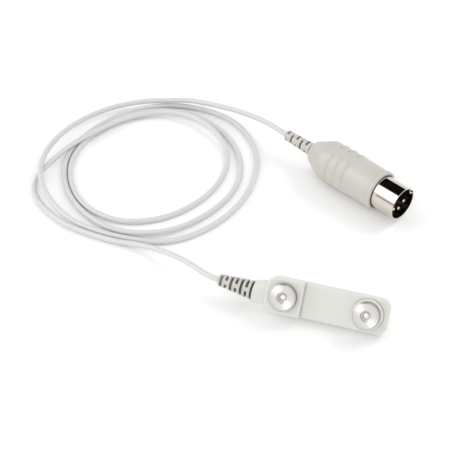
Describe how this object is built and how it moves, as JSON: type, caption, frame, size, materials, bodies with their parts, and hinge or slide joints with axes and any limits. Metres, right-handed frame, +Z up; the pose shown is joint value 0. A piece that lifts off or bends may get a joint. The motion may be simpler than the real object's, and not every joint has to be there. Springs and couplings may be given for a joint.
{
  "type": "bipolar bar electrode",
  "caption": "Bar electrode with turned metal contacts on a stepped plastic moulding, on a thin coiled lead that ends in a round plug with a keyed metal skirt.",
  "frame": {"origin": "on the surface it lies on, under the middle of the bar with its strain relief", "axes": "+X along the bar from the lead to the tip, +Y towards the side that the bar's back leans to, +Z up"},
  "size_m": [0.1531, 0.1087, 0.0164],
  "materials": {
    "bar_plastic": "fine satin moulding",
    "relief_plastic": "soft matt moulding",
    "contact_steel": "turned and polished",
    "plug_plating": "bright nickel plate",
    "cable_jacket": "satin",
    "insert_black": "matt",
    "brass": "bright",
    "core_red": "satin",
    "core_white": "satin"
  },
  "bodies": {
    "root": {"bar_body": "bar_plastic", "bar_back_cover": "bar_plastic", "bar_boot": "relief_plastic", "plug_boot": "relief_plastic", "plug_hood": "relief_plastic", "contact_disc_near": "contact_steel", "contact_disc_far": "contact_steel", "contact_rivet_near": "contact_steel", "contact_rivet_far": "contact_steel", "shield_skirt": "plug_plating", "shield_cover": "plug_plating", "cable_clamp": "plug_plating", "cable_coil": "cable_jacket", "cable_bar_lead": "cable_jacket", "cable_plug_lead": "cable_jacket", "pin_insert": "insert_black", "solder_tag_near": "brass", "solder_tag_far": "brass", "cable_ferrule": "brass", "lead_wire_near": "core_red", "lead_wire_far": "core_white", "core_wire_signal": "core_red", "core_wire_reference": "core_white", "pin_1": "plug_plating", "pin_2": "plug_plating", "pin_3": "plug_plating", "pin_4": "plug_plating", "pin_5": "plug_plating"}
  },
  "joints": []
}
